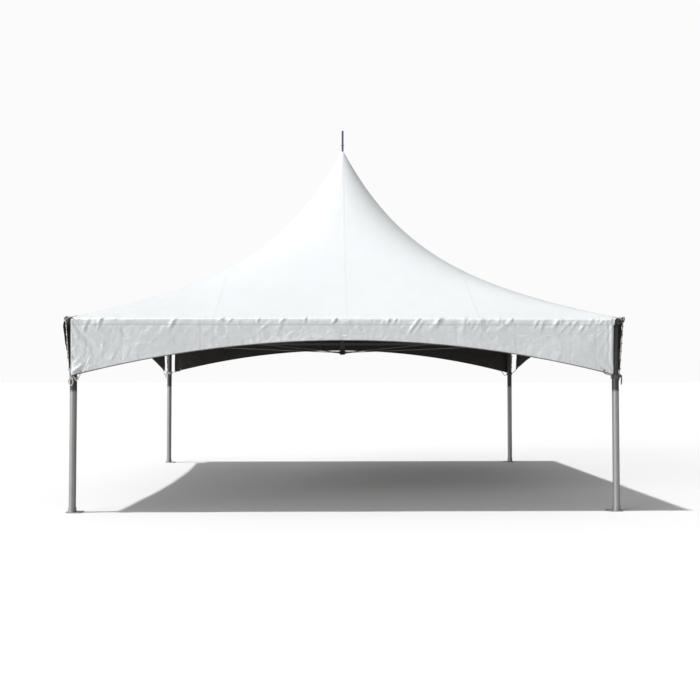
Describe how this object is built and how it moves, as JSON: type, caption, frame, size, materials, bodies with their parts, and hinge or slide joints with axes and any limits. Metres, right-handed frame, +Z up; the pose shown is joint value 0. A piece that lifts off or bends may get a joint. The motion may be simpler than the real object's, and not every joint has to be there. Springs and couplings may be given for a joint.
{
  "type": "marquee tent",
  "caption": "High-peak frame tent, square in plan: tube legs on foot plates, eave tubes, a mast on crossed cables and a white roof with arched valances",
  "frame": {"origin": "on the ground under the peak, midway between the four legs", "axes": "+Z up, +Y from the front side to the back side, +X to the right as seen from the front"},
  "size_m": [6.1954, 6.1954, 5.07],
  "materials": {
    "mill_aluminium": "satin",
    "galvanised_steel": "dull zinc",
    "cable_steel": "stranded",
    "finial_paint": "satin",
    "white_vinyl": "coated, low sheen",
    "tie_rope": "matte"
  },
  "bodies": {
    "root": {"foot_plate_front_left": "galvanised_steel", "foot_plate_front_right": "galvanised_steel", "foot_plate_back_right": "galvanised_steel", "foot_plate_back_left": "galvanised_steel", "leg_front_left": "mill_aluminium", "leg_front_right": "mill_aluminium", "leg_back_right": "mill_aluminium", "leg_back_left": "mill_aluminium", "corner_fitting_front_left": "galvanised_steel", "corner_fitting_front_right": "galvanised_steel", "corner_fitting_back_right": "galvanised_steel", "corner_fitting_back_left": "galvanised_steel", "eave_tube_front_left": "mill_aluminium", "eave_tube_front_right": "mill_aluminium", "eave_tube_right_front": "mill_aluminium", "eave_tube_right_back": "mill_aluminium", "eave_tube_back_right": "mill_aluminium", "eave_tube_back_left": "mill_aluminium", "eave_tube_left_back": "mill_aluminium", "eave_tube_left_front": "mill_aluminium", "mast_foot": "galvanised_steel", "mast_tube": "mill_aluminium", "mast_head": "galvanised_steel", "finial_rod": "finial_paint", "cross_cable_front_left": "cable_steel", "cross_cable_front_right": "cable_steel", "cross_cable_back_right": "cable_steel", "cross_cable_back_left": "cable_steel", "roof_panel_front": "white_vinyl", "roof_panel_right": "white_vinyl", "roof_panel_back": "white_vinyl", "roof_panel_left": "white_vinyl", "valance_front": "white_vinyl", "valance_right": "white_vinyl", "valance_back": "white_vinyl", "valance_left": "white_vinyl", "valance_tie_front_left": "tie_rope", "valance_tie_front_right": "tie_rope", "valance_tie_back_right": "tie_rope", "valance_tie_back_left": "tie_rope"}
  },
  "joints": []
}
